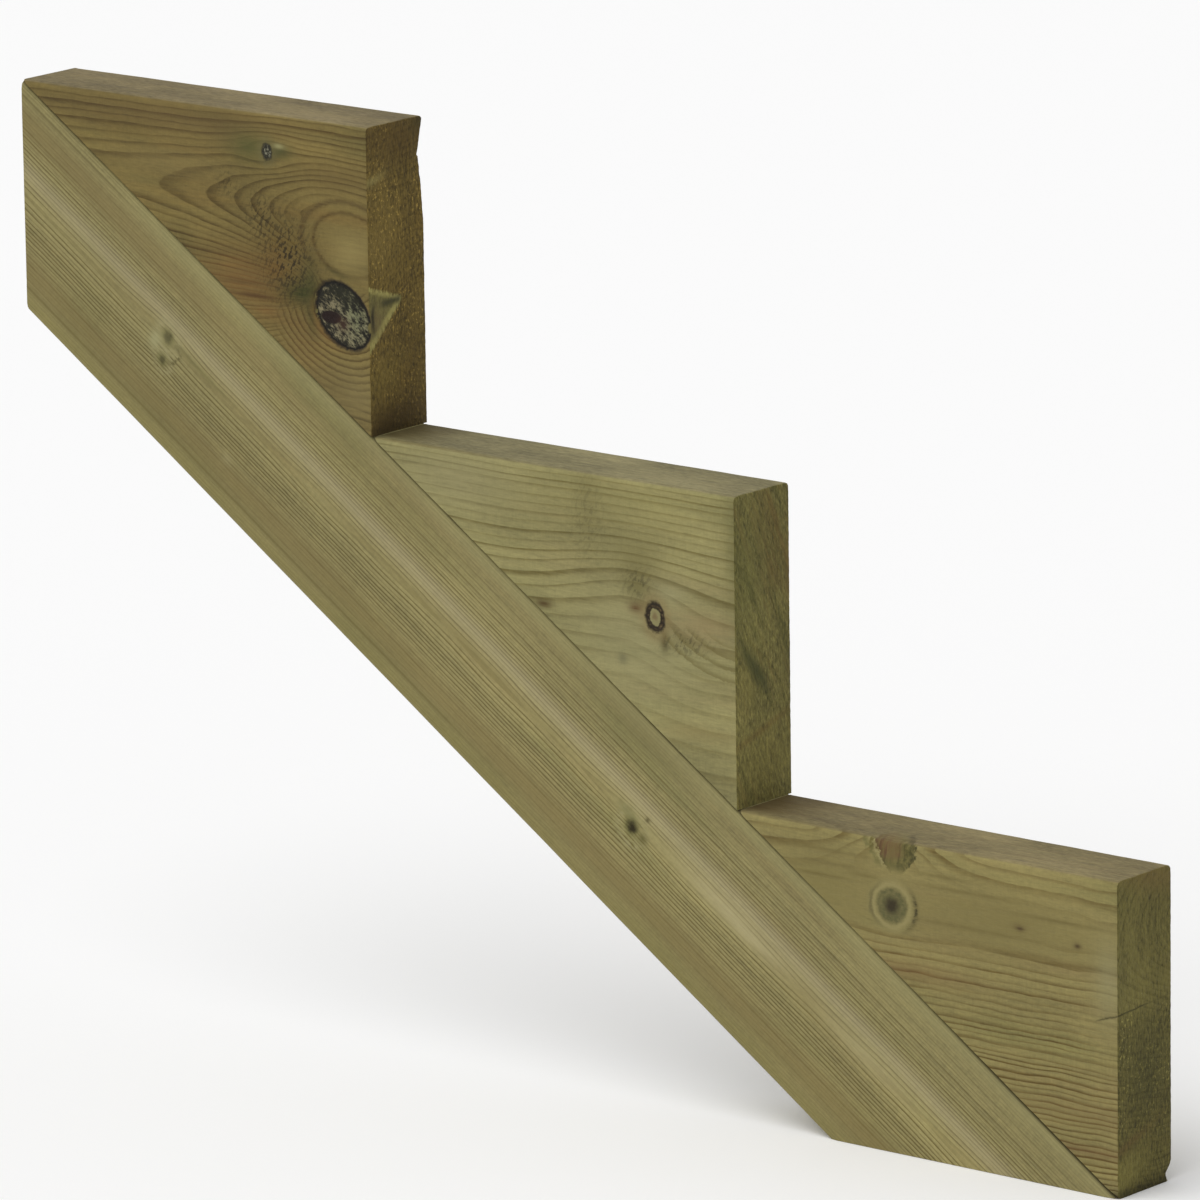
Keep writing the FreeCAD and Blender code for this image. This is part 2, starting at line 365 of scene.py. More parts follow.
def knot_eye():
    """Distance from the middle of a knot, 1 at its rim, with a ragged edge."""
    pattern, read, give = new_group("knot eye", ("Along", "Down", "Long", "High", "Turn", "Ragged"), ("Out",))
    along, deep, down = pattern.parts(read["Log"])
    across, drop = along - read["Along"], down - read["Down"]
    cosine, sine = read["Turn"].work("COSINE"), read["Turn"].work("SINE")
    first = (across * cosine + drop * sine) / read["Long"]
    second = (drop * cosine - across * sine) / read["High"]
    ragged = (pattern.noise(read["Log"], (0.28, 0.05, 0.28), 3.0, 0.6) - 0.5) * read["Ragged"]
    give(Out=(first.squared() + second.squared()).root() + ragged)


def sawn_fibres():
    """Fine streaks along the grain, short dark flecks and the nap left by the saw."""
    pattern, read, give = new_group("sawn fibres", (), ("Streak", "Fleck", "Nap", "Saw"))
    log = read["Log"]
    streak = pattern.noise(log, (0.03, 0.5, 0.5), 4.0, 0.66)
    fleck = pattern.noise(log, (0.09, 0.9, 0.9), 2.0, 0.5)
    nap = pattern.noise(log, (0.2, 0.75, 0.75), 3.0, 0.65)
    give(Streak=streak - 0.5)
    give(Fleck=fleck.ease(0.62, 0.74))
    give(Nap=nap - 0.5)
    give(Saw=pattern.noise(log, (0.8, 0.05, 0.13), 2.0, 0.5) - 0.5)


def treatment_stain():
    """Broad clouds of preservative."""
    pattern, read, give = new_group("treatment stain", (), ("Cloud", "Green", "Warm"))
    log = read["Log"]
    give(Cloud=pattern.noise(log, (0.008, 0.02, 0.02), 4.0, 0.6) - 0.5)
    give(Green=pattern.noise(log, (0.006, 0.028, 0.028), 3.0, 0.55).ease(0.5, 0.72))
    give(Warm=pattern.noise(log, (0.005, 0.05, 0.05), 3.0, 0.55).ease(0.5, 0.75))


def cut_end():
    """End grain left by the crosscut saw: pale pores, saw lines and soaked clouds."""
    pattern, read, give = new_group("cut end", (), ("Pore", "Saw", "Soak", "Grain"))
    log = read["Log"]
    pore = pattern.noise(log, (0.3, 0.62, 0.42), 2.0, 0.55)
    soft = pattern.noise(log, (0.02, 0.05, 0.03), 2.0)
    give(Pore=pore.ease(0.57, 0.66) * soft.ease(0.36, 0.6))
    give(Saw=pattern.noise(log, (0.1, 0.7, 0.05), 3.0, 0.6) - 0.5)
    give(Grain=pattern.noise(log, (0.1, 0.62, 0.26), 3.0, 0.7) - 0.5)
    give(Soak=pattern.noise(log, (0.02, 0.045, 0.022), 4.0, 0.6) - 0.5)


def torn_grain():
    """Short dark ticks across the grain, where the planer lifted it beside a knot."""
    pattern, read, give = new_group("torn grain", (), ("Tick",))
    along, deep, down = pattern.parts(read["Log"])
    slant = pattern.joined(along + down * 0.5, deep, down - along * 0.3)
    tick = pattern.noise(slant, (0.42, 0.2, 0.24), 2.0, 0.6)
    give(Tick=tick.ease(0.49, 0.6))


class Timber(Pattern):
    """Material of one timber, its log frame and its colour as it builds up."""

    def __init__(self, name, tip, pitch, finish):
        self.material, self.shader = new_material(name)
        super().__init__(self.material.node_tree)
        self.shader.inputs["Specular IOR Level"].default_value = 0.25
        self.finish = finish
        coordinates = self.node("ShaderNodeTexCoord")
        mapping = self.node("ShaderNodeMapping", vector_type="TEXTURE")
        mapping.inputs["Location"].default_value = tip
        mapping.inputs["Rotation"].default_value = (0.0, pitch, 0.0)
        mapping.inputs["Scale"].default_value = (MM, MM, -MM)
        self.tree.links.new(coordinates.outputs["Object"], mapping.inputs["Vector"])
        self.log = Reading(self, mapping.outputs[0])
        self.along, self.deep, self.down = self.parts(self.log)
        normal = Reading(self, coordinates.outputs["Normal"])
        grain = (math.cos(pitch), 0.0, -math.sin(pitch))
        self.end = self.dot(normal, grain).work("ABSOLUTE").ease(0.35, 0.6)
        self.upward = self.dot(normal, (0.0, 0.0, 1.0)).ease(0.7, 0.95)
        self.front = self.deep.ease(14.0, 2.0)
        self.tone = None
        self.height = None

    def hill(self, along, down, long, high, deep=30.0):
        """Mask of a soft patch, given by its place and size in mm."""
        return self.use("hill", self.log, Place=(along, 0.0, down), Reach=(long, deep, high))[0]

    def bend(self, along, down, long, high, push):
        """Shift of the rings round a knot."""
        return self.use("knot bend", self.log, Place=(along, 0.0, down), Reach=(long, 32.0, high),
                        Push=push)[0]

    def eye(self, along, down, long, high, turn=0.0, ragged=0.25):
        """Distance out from a knot, 1 at its rim."""
        return self.use("knot eye", self.log, Along=along, Down=down, Long=long, High=high, Turn=turn,
                        Ragged=ragged)[0]

    def lay_grain(self, shift, contrast, **rings):
        """Rings, fibres and stain over the whole timber; contrast may vary over it."""
        finish = self.finish
        line, band = self.use("growth rings", self.log, Shift=shift, **rings)
        streak, fleck, nap, marks = self.use("sawn fibres", self.log)
        cloud, green, warm = self.use("treatment stain", self.log)
        self.line, self.streak, self.nap, self.cloud = line, streak, nap, cloud
        self.broken = streak * 1.6 + cloud * 1.2 + 1.0
        tone = self.mix(warm * 0.45, rgba(finish.pale), rgba(finish.warm))
        tone = self.mix(green * 0.4, tone, rgba(finish.green))
        strength = (line * (1.0 - self.end * 0.4) * contrast).work("MAXIMUM", 0.0)
        tone = self.mix(strength, tone, rgba(finish.ring))
        shade = 1.0 + streak * 0.5 + cloud * 0.6 + (band - 0.5) * 0.3 + nap * 0.6 + marks * 0.22
        shade = shade - fleck * 0.12
        self.tone = self.lit(tone, shade)
        self.height = streak * 0.2 + nap * 0.3 + marks * 0.1

    def paint(self, share, screen):
        self.tone = self.mix(share, self.tone, tone_of(*screen))

    def disc(self, out, outer, inner, amount, screen):
        """Fill a knot on the front face, from nothing at the outer distance to full at the inner one."""
        self.paint(out.ease(outer, inner) * self.front * amount, screen)

    def ring(self, out, distance, width, amount, screen):
        """Line round a knot on the front face."""
        self.paint(out.band(distance, width) * self.front * amount, screen)

    def smears(self, *rows):
        """Soft stains on the front face, broken up by the fibres: place, size, amount and colour."""
        for along, down, long, high, amount, screen in rows:
            self.paint(self.hill(along, down, long, high, 14.0) * (self.broken * amount), screen)

    def soaks(self, *rows):
        """Soft stains on the end grain; turn leans the width down toward the rear, in degrees."""
        for deep, down, wide, high, turn, amount, screen in rows:
            across, drop = self.deep - deep, self.down - down
            cosine, sine = math.cos(math.radians(turn)), math.sin(math.radians(turn))
            spread = (((across * cosine + drop * sine) / wide).squared()
                      + ((drop * cosine - across * sine) / high).squared())
            self.paint((spread * -1.0).work("EXPONENT") * self.uneven * amount * self.end, screen)

    def brighten(self, strength):
        """Make the wood lighter or darker by a reading about 1."""
        self.tone = self.lit(self.tone, strength)

    def shadow(self, share, strength):
        """Darken the wood where the mask is."""
        self.brighten(1.0 - share * strength)

    def wrap(self, out, rate, share):
        """Rings that close round a knot."""
        season = (out * rate + self.cloud * 1.5).work("FRACT")
        line = season.ease(0.2, 0.9).squared() * season.ease(1.0, 0.92)
        self.tone = self.mix(line * share, self.tone, rgba(self.finish.ring))

    def torn(self, along, down, long, high, strength, deep=8.0):
        """Patch of torn grain on the front face."""
        tick = self.use("torn grain", self.log)[0] * self.hill(along, down, long, high, deep)
        self.shadow(tick, strength)
        self.height = self.height - tick * 0.1

    def lay_top(self, share, screen):
        """Greyer tread face: painted sheen of the light glancing off the tops."""
        tread_sheen = self.lit(linear(*screen), 1.0 + self.cloud * 2.2 + self.nap * 1.5 + self.streak * 0.8)
        self.tone = self.mix(self.upward * share, self.tone, tread_sheen)

    def lay_ends(self, soaked, flecks=0.5):
        """Darker, rougher end grain on the crosscut faces: soaked end grain, with painted shade of the ends
        that face away from the light.
        """
        pore, saw, soak, grain = self.use("cut end", self.log)
        self.pith = grain
        self.uneven = grain * 2.0 + 1.0
        shade = 1.0 + grain * 2.5 + saw * 0.4 + soak * 1.1 + pore * flecks - self.line * 0.14
        # End colour: soaked end grain, darkened further by painted shade
        ends = self.lit(self.mix(0.78, self.tone, tone_of(*soaked)), shade)
        self.tone = self.mix(self.end, self.tone, ends)
        self.height = self.height + self.end * (saw * 0.5 + grain * 0.6 + pore * 0.3)

    def roughen(self, amount):
        """Bring the end grain back over its stains."""
        self.brighten(1.0 + self.end * self.pith * amount)

    def close(self):
        """Join the colour, roughness and relief to the shader."""
        self.feed(self.shader.inputs["Base Color"], self.tone)
        self.feed(self.shader.inputs["Roughness"], 0.74 + self.streak * 0.3 + self.end * 0.1)
        self.relief(self.shader, self.height, 0.8, MM)
        return self.material


def board_timber(finish):
    """Straight, tight grain with a pale heart and two small knots."""
    wood = Timber("carriage board softwood", tip_of(BOARD), PITCH, finish)
    along, down = wood.along, wood.down
    front = wood.front
    spindle = (wood.noise(wood.log, (0.009, 0.02, 0.02), 1) - 0.5) * down.band(53, 14) * 2.6
    shift = (0.3 + spindle + wood.bend(*UPPER_KNOT, 24, 10, 2.6) + wood.bend(164, 64, 20, 7, 1)
             + wood.bend(*LOWER_KNOT, 26, 9, 2.2))
    show = (down.band(38, 13) * 1.25 + down.band(67, 13) * 1.15 + 0.55) * (1 - down.band(53, 4) * 0.4)
    wood.lay_grain(shift, show, Heart=53, Away=3, Lean=0.6, Even=0.46, Tighten=0.0009, Wander=0.75, Thin=0.22)
    wood.paint(down.band(18, 9) * along.ease(560, 40) * 0.55, (114, 98, 58))
    wood.paint(down.band(88, 10) * 0.55, (112, 97, 56))
    wood.paint(down.band(41, 6) * 0.36, (164, 154, 122))
    # Pale band along the eased upper arris: painted highlight where the light catches the edge
    wood.paint(down.band(3, 4.5) * along.ease(60, 140) * 0.4, (144, 138, 94))
    wood.smears(
        (640, 51, 42, 5, 0.8, (162, 152, 113)),
        (738, 52, 36, 5, 0.6, (154, 144, 104)),
        (690, 53, 20, 5, 0.4, (122, 110, 68)),
        (420, 52, 90, 3, 0.5, (118, 108, 66)),
    )
    glow = 1 + down.band(42, 7) * 0.08 + down.band(56, 9) * along.ease(150, 400) * 0.1
    glow = glow + along.ease(200, 560) * down.ease(20, 40) * down.ease(100, 90) * 0.06
    wood.brighten(glow)
    wood.paint(down.band(104, 6) * 0.45, (124, 115, 64))
    wood.paint(down.band(96, 1.1) * along.ease(520, 380) * 0.6, (98, 88, 48))
    wood.paint(down.band(6.6, 0.9) * along.ease(120, 80) * 0.5, (90, 80, 44))
    wood.smears((530, 10, 45, 9, 0.4, (100, 94, 56)))
    for place, drop, long, high, dark in ((160.5, 51.6, 5.2, 4.2, 0.9), (164, 64, 4.2, 3.2, 0.7),
                                          (*LOWER_KNOT, 5.8, 5, 1)):
        out = wood.eye(place, drop, long, high, 0.5, 0.9)
        wood.ring(out, 1.8, 0.6, wood.nap * 2 + 0.2, (154, 148, 108))
        wood.disc(out, 1.5, 0.6, 0.6, (100, 97, 54))
        wood.disc(out, 1, 0.2, dark, (42, 36, 8))
    ring = wood.eye(168.5, 57, 4.6, 5, 0.4, 1.6)
    wood.paint(ring.band(1, 0.24) * front * along.ease(165, 169) * (wood.nap * 4 + 0.6), (84, 76, 40))
    wood.smears(
        (154, 58, 4, 5, 0.9, (154, 150, 108)),
        (160, 56, 16, 8, 0.3, (148, 142, 98)),
        (565, 57.5, 3.6, 3.2, 0.8, (96, 90, 48)),
        (549, 52, 7, 3, 0.5, (112, 110, 68)),
        (562, 46.5, 1.6, 1.4, 0.9, (88, 80, 46)),
        (186, 51, 24, 1.6, 0.45, (106, 102, 58)),
        (230, 80, 4, 3, 0.35, (150, 142, 102)),
    )
    # Dark line along the joint under the blocks: dirt caught in the joint, and painted shade in the groove
    # between board and blocks
    wear_dirt_and_shade = (along.ease(90, 30) + along.band(553, 22) + along.ease(800, 860) + along.band(300, 30)
            + along.band(604, 26)) * 0.75
    gap = (wood.noise(wood.log, (0.05, 0.2, 0.2), 3, 0.6) - 0.42) * 2.4
    wood.paint((wear_dirt_and_shade + gap) * down.ease(2, 0.5) * front * 0.8, (50, 42, 20))
    # More of the painted dirt and shade in the joint, under the bottom block
    wood.paint(along.ease(740, 820) * down.ease(2.8, 0.8) * front * 0.7, (50, 42, 20))
    wood.lay_ends((100, 92, 48))
    return wood.close()


def top_timber(finish):
    """Brown, swirling grain round a small tight knot and a large dead one."""
    wood = Timber("top block softwood", tip_of(TOP), 0, finish)
    along, deep, down = wood.along, wood.deep, wood.down
    front, end = wood.front, wood.end
    near = ((along - 208).squared() + (down - 98).squared()) / 62 ** 2 + (deep / 26).squared()
    swirl = (down - 98).work("ARCTAN2", 208 - along) * (near * -1).work("EXPONENT") * 4.4
    shift = 0.85 + swirl - wood.hill(236, 60, 120, 32) * 4 + wood.bend(*SMALL_KNOT, 20, 9, 3)
    oval = wood.eye(237, 66, 24, 16, 0.12, 0.14)
    rim = wood.eye(229, 104, 25, 18, 0.35, 0.08)
    within = oval.ease(1.7, 1.45) * front
    below = rim.ease(2.8, 2) * down.ease(98, 110) * along.ease(178, 196) * front
    show = (1 - within) * (1 - below) * 0.95
    wood.lay_grain(shift, show, Heart=42, Away=30, Lean=-0.4, Even=0.333, Tighten=0, Wander=1.3, Thin=0.25)
    wood.wrap(rim, 5, below * (wood.streak * 2 + 1.1))
    wood.brighten(1 + wood.cloud * 0.7)
    wood.smears((238, 70, 15, 11, 0.75, (138, 124, 74)))
    arc = front * (wood.streak * 2 + 0.75)
    wood.paint(oval.band(1.08, 0.07) * down.ease(92, 74) * arc, (80, 63, 28))
    wood.paint(oval.band(1.45, 0.09) * down.ease(84, 66) * arc, (78, 62, 30))
    wood.paint(oval.band(1.12, 0.12) * down.ease(74, 84) * along.ease(244, 224) * arc, (62, 58, 26))
    wood.smears(
        (105, 34, 40, 9, 0.4, (126, 110, 66)),
        (110, 9, 100, 9, 0.5, (94, 76, 44)),
        (215, 150, 45, 22, 0.4, (122, 107, 66)),
        (165, 92, 34, 15, 0.55, (120, 84, 42)),
        (205, 122, 16, 16, 0.25, (116, 86, 46)),
        (241, 149, 15, 15, 0.25, (140, 128, 84)),
        (150, 14, 16, 12, 0.35, (86, 72, 40)),
        (190, 76, 22, 24, 0.6, (92, 74, 30)),
        (183, 82, 8, 10, 0.45, (104, 76, 34)),
        (226, 30, 32, 9, 0.4, (92, 75, 40)),
        (168, 101.5, 18, 1.5, 0.9, (78, 54, 24)),
        (158, 95, 16, 1.2, 0.6, (84, 62, 30)),
        (177, 109, 9, 3, 0.4, (118, 84, 42)),
        (202, 96, 15, 8, 0.9, (54, 55, 20)),
        (208, 88, 6, 12, 0.7, (64, 64, 28)),
        (209, 108, 4, 10, 0.6, (62, 60, 26)),
        (166, 20, 14, 8, 0.75, (80, 80, 40)),
        (188, 20, 9, 4, 0.6, (72, 74, 38)),
        (187, 17, 4, 1.5, 0.8, (138, 132, 88)),
    )
    wood.torn(193, 79, 18, 23, 0.75)
    wood.torn(173, 57, 10, 13, 0.5)
    wood.torn(150, 42, 8, 8, 0.35)
    # Small tight knot
    out = wood.eye(*SMALL_KNOT, 3.6, 4.4, 0, 1.1)
    curl = wood.noise(wood.log, (0.5, 0.05, 0.4), 2, 0.6)
    wood.disc(out, 2.6, 1.2, 0.45, (100, 94, 58))
    wood.disc(out, 1.35, 0.8, 0.95, (34, 32, 24))
    wood.paint(out.ease(1, 0.5) * curl.ease(0.47, 0.58) * front * 0.8, (128, 126, 104))
    # Large dead knot with its black rim
    out = wood.eye(*DEAD_KNOT, *DEAD_KNOT_SIZE, DEAD_KNOT_TURN, 0.2)
    side = deep.ease(10, 4)
    wood.paint(out.ease(1.4, 1.08) * side * wood.hill(212, 116, 18, 16) * 0.5, (112, 82, 40))
    wood.paint(out.ease(1.14, 1.03) * side * 0.85, (52, 42, 26))
    whorl = wood.joined(along + down * 0.7 + wood.cloud * 20, deep, down - along * 0.7)
    speckle = wood.noise(whorl, (0.19, 0.05, 0.44), 4, 0.7)
    patchy = wood.noise(wood.log, (0.09, 0.05, 0.12), 2, 0.5) - 0.5
    lighter = (patchy * 0.35 + wood.hill(238, 110, 15, 14, 40) * 0.06 + wood.hill(224, 99, 6, 4, 40) * 0.07
               - wood.hill(233, 93, 18, 8, 40) * 0.06)
    greener = wood.mix(wood.hill(240, 104, 9, 14, 40), tone_of(134, 125, 94), tone_of(122, 123, 90))
    crust = wood.mix((speckle + lighter).ease(0.45, 0.67), tone_of(30, 28, 18), greener)
    crust = wood.mix(wood.hill(233, 93, 13, 6, 40) * 0.4, crust, tone_of(46, 47, 27))
    crust = wood.mix(wood.hill(222.5, 107, 7.6, 3.6, 40).ease(0.3, 0.5), crust, tone_of(30, 15, 9))
    crust = wood.mix(wood.hill(231, 110, 4.5, 4, 40) * 0.65, crust, tone_of(70, 46, 32))
    crust = wood.mix(out.ease(0.88, 0.98), crust, tone_of(24, 21, 15))
    wood.tone = wood.mix(out.ease(1.05, 0.99) * side, wood.tone, crust)
    wood.height = wood.height + out.ease(1.05, 0.95) * side * (speckle - 0.5) * 1.6
    wood.lay_top(0.75, (126, 114, 83))
    wood.lay_ends((93, 76, 31), 1.7)
    wood.soaks(
        (45, 3, 9, 6, 0, 0.7, (50, 52, 28)),
        (24, 8, 40, 14, 0, 0.5, (76, 58, 26)),
        (8, 60, 14, 24, 0, 0.4, (120, 102, 50)),
        (5, 30, 9, 2.4, -14, 0.7, (136, 124, 72)),
        (12, 138, 16, 9, -20, 0.4, (118, 102, 48)),
        (34, 128, 12, 20, 0, 0.35, (80, 66, 30)),
        (20, 164, 40, 11, -12, 0.7, (66, 52, 27)),
    )
    # The knot's heartwood running into the end face
    taper = (28 - deep) / 28
    upper = down - (97 - taper * 9) + wood.pith * 4
    lower = (97 + taper.work("MAXIMUM", 0) * 27) - down + wood.pith * 4
    face = end * taper.ease(-0.05, 0.12)
    wood.paint(upper.ease(-1.5, 1) * lower.ease(-2, 1) * face * (wood.pith * 2 + 0.95), (152, 144, 84))
    wood.paint(upper.ease(1.2, 3.5) * lower.ease(3, 6.5) * face * (wood.pith * 3 + 0.8), (96, 89, 50))
    wood.soaks((6, 108, 7, 8, 0, 0.5, (108, 92, 60)))
    arrow = (down - 97.5 - taper * 1.5).band(0, 2.4) * taper.ease(0, 0.12) * taper.ease(0.75, 0.5)
    wood.paint(arrow * end * 0.85, (58, 57, 34))
    bark = (deep - (down - 105).squared() * 0.02).band(3, 1.6) * down.band(105, 9)
    wood.paint(bark * end * 0.9, (40, 37, 26))
    wood.shadow(end * down.ease(163, 169), 0.25)
    wood.roughen(0.5)
    return wood.close()


def middle_timber(finish):
    """Pale, even grain that drops past one ringed knot."""
    wood = Timber("middle block softwood", tip_of(MIDDLE), 0, finish)
    along, deep, down = wood.along, wood.deep, wood.down
    front, end, upward = wood.front, wood.end, wood.upward
    drop = along.ease(172, 232) * down.ease(52, 88) * down.ease(160, 96) * deep.ease(40, 5)
    shift = drop * 1.6 - wood.hill(178, 52, 46, 22) * 1.5 + wood.hill(95, 40, 40, 60) * 0.35
    show = 0.95 - down.ease(84, 112) * 0.5
    wood.lay_grain(shift, show, Heart=176, Away=100, Lean=1, Even=0, Tighten=1 / 1500, Wander=0.5, Thin=0.42)
    wood.brighten(1 + wood.cloud * 0.7)
    wood.smears(
        (188, 87, 48, 31, 0.6, (152, 146, 104)),
        (250, 30, 7, 40, 0.5, (92, 88, 48)),
        (60, 14, 44, 18, 0.5, (152, 145, 104)),
        (170, 18, 70, 20, 0.3, (116, 108, 64)),
        (226, 74, 26, 9, 0.45, (140, 118, 80)),
        (225, 132, 30, 5, 0.4, (126, 112, 70)),
        (150, 18, 9, 26, 0.3, (106, 98, 58)),
        (184, 57, 10, 7, 0.7, (96, 88, 44)),
        (184, 43, 16, 9, 0.5, (98, 90, 48)),
        (205, 58, 12, 5, 0.45, (152, 146, 106)),
        (173, 98, 3.2, 3.2, 0.7, (104, 100, 70)),
        (119, 75.5, 6, 2.2, 1, (82, 66, 34)),
        (182.5, 69, 5, 3.2, 0.9, (92, 68, 38)),
        (202, 85, 3, 6, 0.9, (78, 70, 38)),
        (214, 83, 12, 5, 0.45, (102, 94, 52)),
    )
    # Rings sweeping down from the knot to the riser face
    sweep = wood.eye(256, 58, 64, 43.5, 0, 0.05)
    swept = sweep.ease(0.5, 0.62) * sweep.ease(1.14, 1.04) * along.ease(197, 206) * down.ease(72, 80)
    wood.wrap(sweep, 7, swept * front * 0.55)
    wood.torn(150, 26, 12, 24, 0.2)
    wood.torn(184, 56, 10, 8, 0.4)
    wood.torn(216, 84, 16, 6, 0.45)
    # Knot with a black ring
    out = wood.eye(*MIDDLE_KNOT, 6.2, 8, -0.15, 0.5)
    wood.disc(out, 2.2, 1.1, 0.35, (122, 98, 58))
    wood.disc(out, 1.25, 0.95, 1, (42, 33, 18))
    wood.ring(out, 0.8, 0.1, wood.nap * 4 + 0.2, (96, 80, 52))
    wood.disc(out, 0.64, 0.5, 1, (132, 125, 84))
    wood.disc(out, 0.4, 0.1, 0.6, (104, 80, 52))
    wood.lay_top(0.75, (124, 116, 84))
    # Darker where the tread meets the riser above: dirt, and painted shade in that corner
    corner_dirt_and_shade = deep.ease(2, 12) * (along - deep * 0.5 + wood.cloud * 60).ease(34, -10)
    wood.paint(upward * corner_dirt_and_shade * 0.75, (84, 72, 36))
    wood.paint(upward * deep.band(0, 5) * along.ease(120, 40) * 0.5, (136, 124, 74))
    wood.lay_ends((106, 99, 49), 0.25)
    slant = wood.joined(along, deep * 1.2 - down * 0.55, down + deep * 0.5)
    soaked = wood.noise(slant, (0.02, 0.13, 0.014), 4, 0.68)
    wood.paint(end * soaked.ease(0.5, 0.66) * (0.75 - down.ease(60, 110) * 0.4), (74, 72, 33))
    wood.paint(end * soaked.ease(0.47, 0.36) * 0.5, (122, 108, 58))
    wood.soaks(
        (24, 34, 34, 34, 0, 0.35, (82, 76, 38)),
        (8, 50, 14, 34, 0, 0.3, (96, 98, 50)),
        (38, 30, 34, 7, 60, 0.25, (104, 84, 42)),
    )
    streaks = wood.noise(slant, (0.02, 0.24, 0.02), 3, 0.6).ease(0.48, 0.6)
    wood.paint(end * streaks * deep.ease(12, 34) * down.ease(78, 40) * 0.5, (98, 80, 40))
    wood.soaks(
        (46, 48, 3, 20, 0, 0.35, (118, 94, 48)),
        (17, 97, 16, 4.5, 52, 0.95, (58, 62, 32)),
        (44, 100, 6, 18, 0, 0.45, (76, 70, 34)),
        (8, 108, 10, 16, 0, 0.4, (126, 116, 62)),
        (20, 131, 30, 2.2, -17, 0.5, (102, 78, 38)),
        (26, 146, 28, 22, 0, 0.4, (122, 113, 58)),
    )
    wood.brighten(1 + end * (wood.noise(slant, (0.05, 0.7, 0.1), 3, 0.6) - 0.5) * 1.1)
    wood.roughen(0.4)
    return wood.close()


def bottom_timber(finish):
    """Close grain below a round knot and a knot torn out of the edge."""
    wood = Timber("bottom block softwood", tip_of(BOTTOM), 0, finish)
    along, deep, down = wood.along, wood.deep, wood.down
    front, end, upward = wood.front, wood.end, wood.upward
    ripple = (wood.noise(wood.log, (0.02, 0.05, 0.05), 2) - 0.5) * down.ease(40, 80) * 1.6
    shift = ripple - wood.hill(103, 36, 26, 18) * 1.2 - wood.hill(101, 2, 34, 17) * 3.2
    quiet = wood.hill(103, 32, 60, 17, 60) * 1.3 + wood.hill(190, 32, 70, 16, 60) * 0.6
    quiet = quiet + wood.hill(243, 84, 18, 26, 40) * 0.6
    show = ((0.85 + down.ease(60, 150) * 0.6 - down.ease(30, 12) * 0.2 - quiet)
            * (wood.noise(wood.log, (0.012, 0.06, 0.06), 2) * 1.5 + 0.3))
    wood.lay_grain(shift, show, Heart=30, Away=42, Lean=-0.5, Even=1 / 2.9, Tighten=0, Wander=1.1, Thin=0.25)
    wood.paint(down.band(69, 6) * along.ease(190, 110) * 0.4, (116, 88, 54))
    wood.paint(down.band(128, 8) * 0.35, (114, 96, 60))
    wood.paint(down.band(147, 3) * 0.4, (108, 82, 52))
    wood.smears(
        (60, 30, 40, 22, 0.6, (120, 110, 64)),
        (170, 34, 80, 17, 0.7, (118, 107, 62)),
    )
    for place, drop, long in ((150, 21, 36), (215, 27, 40), (60, 12, 30), (150, 40, 40), (56, 26, 20),
                              (66, 19, 18), (84, 22, 10), (138, 15, 20)):
        wood.smears((place, drop, long, 1.3, 0.4, (92, 80, 40)))
    wood.smears(
        (244, 55, 9, 21, 0.55, (140, 135, 96)),
        (186, 34, 5, 2.2, 0.6, (98, 84, 48)),
        (224, 38, 3, 2, 0.6, (96, 84, 50)),
        (187, 34.6, 2.4, 1.2, 0.9, (80, 64, 38)),
        (224, 38.2, 1.7, 1.1, 0.9, (78, 64, 36)),
    )
    crumb = wood.noise(wood.log, (0.3, 0.3, 0.3), 3, 0.65) - 0.5
    # Knot with a dark heart in a pale ring
    out = wood.eye(102.8, 35.6, 10.4, 10, 0, 0.35)
    wood.disc(out, 1.75, 1.2, 0.6, (138, 129, 82))
    wood.shadow(out.band(1.55, 0.16) * front * wood.hill(118, 37, 10, 11, 20) * (wood.nap * 4 + 0.9), 0.6)
    wood.shadow(out.band(1.36, 0.12) * front * wood.hill(90, 36, 9, 13, 20), 0.4)
    wood.ring(out, 1.15, 0.1, 0.5, (146, 136, 90))
    wood.paint(out.ease(1.1, 0.8) * front * (crumb * 1.6 + 0.82), (90, 87, 52))
    wood.shadow(out.band(0.9, 0.12) * front * (wood.nap * 3 + 0.6), 0.14)
    wood.paint((out + crumb * 0.6).ease(0.7, 0.15) * front * 0.95, (50, 42, 24))
    # Torn knot on the front top edge
    fibre = wood.noise(wood.log, (0.5, 0.1, 0.06), 3, 0.6)
    left = along - (88 + down * 0.72 + deep * 0.4) + crumb * 9
    right = (119 - (down - 8).work("MAXIMUM", 0) * 0.9 - deep * 0.75) - along + crumb * 6
    patch = left.ease(-0.6, 1) * right.ease(-0.6, 1) * (down + crumb * 12).ease(19, 12)
    patch = patch * (1 - upward * (wood.streak * 2 + 0.4)) * (deep + crumb * 16).ease(22, 8)
    edge = down.ease(17, 12) * front
    wood.paint(left.band(-4, 1.5) * edge * 0.55, (92, 92, 50))
    wood.paint(left.band(-1.2, 0.9) * edge * 0.45, (150, 144, 100))
    wood.paint(patch * 0.85, (104, 97, 52))
    stringy = fibre.ease(0.35, 0.6) * 0.5 + 0.4
    wood.paint(patch * right.ease(6, 14) * down.ease(14, 8) * stringy, (104, 77, 50))
    wood.paint(patch * right.ease(13, 4) * (crumb * 4 + 0.4), (72, 69, 34))
    wood.paint(patch * down.ease(7, 15) * (crumb * 4 + 0.35), (80, 77, 40))
    wood.paint(right.band(2, 2.6) * upward * deep.ease(22, 12) * 0.8, (66, 58, 32))
    wood.shadow(right.band(1, 1.2) * edge * left.ease(0, 4) * (crumb * 4 + 0.8), 0.35)
    wood.shadow(patch * left.ease(3, 0) * front, 0.3)
    wood.shadow(patch * fibre.ease(0.5, 0.68), 0.25)
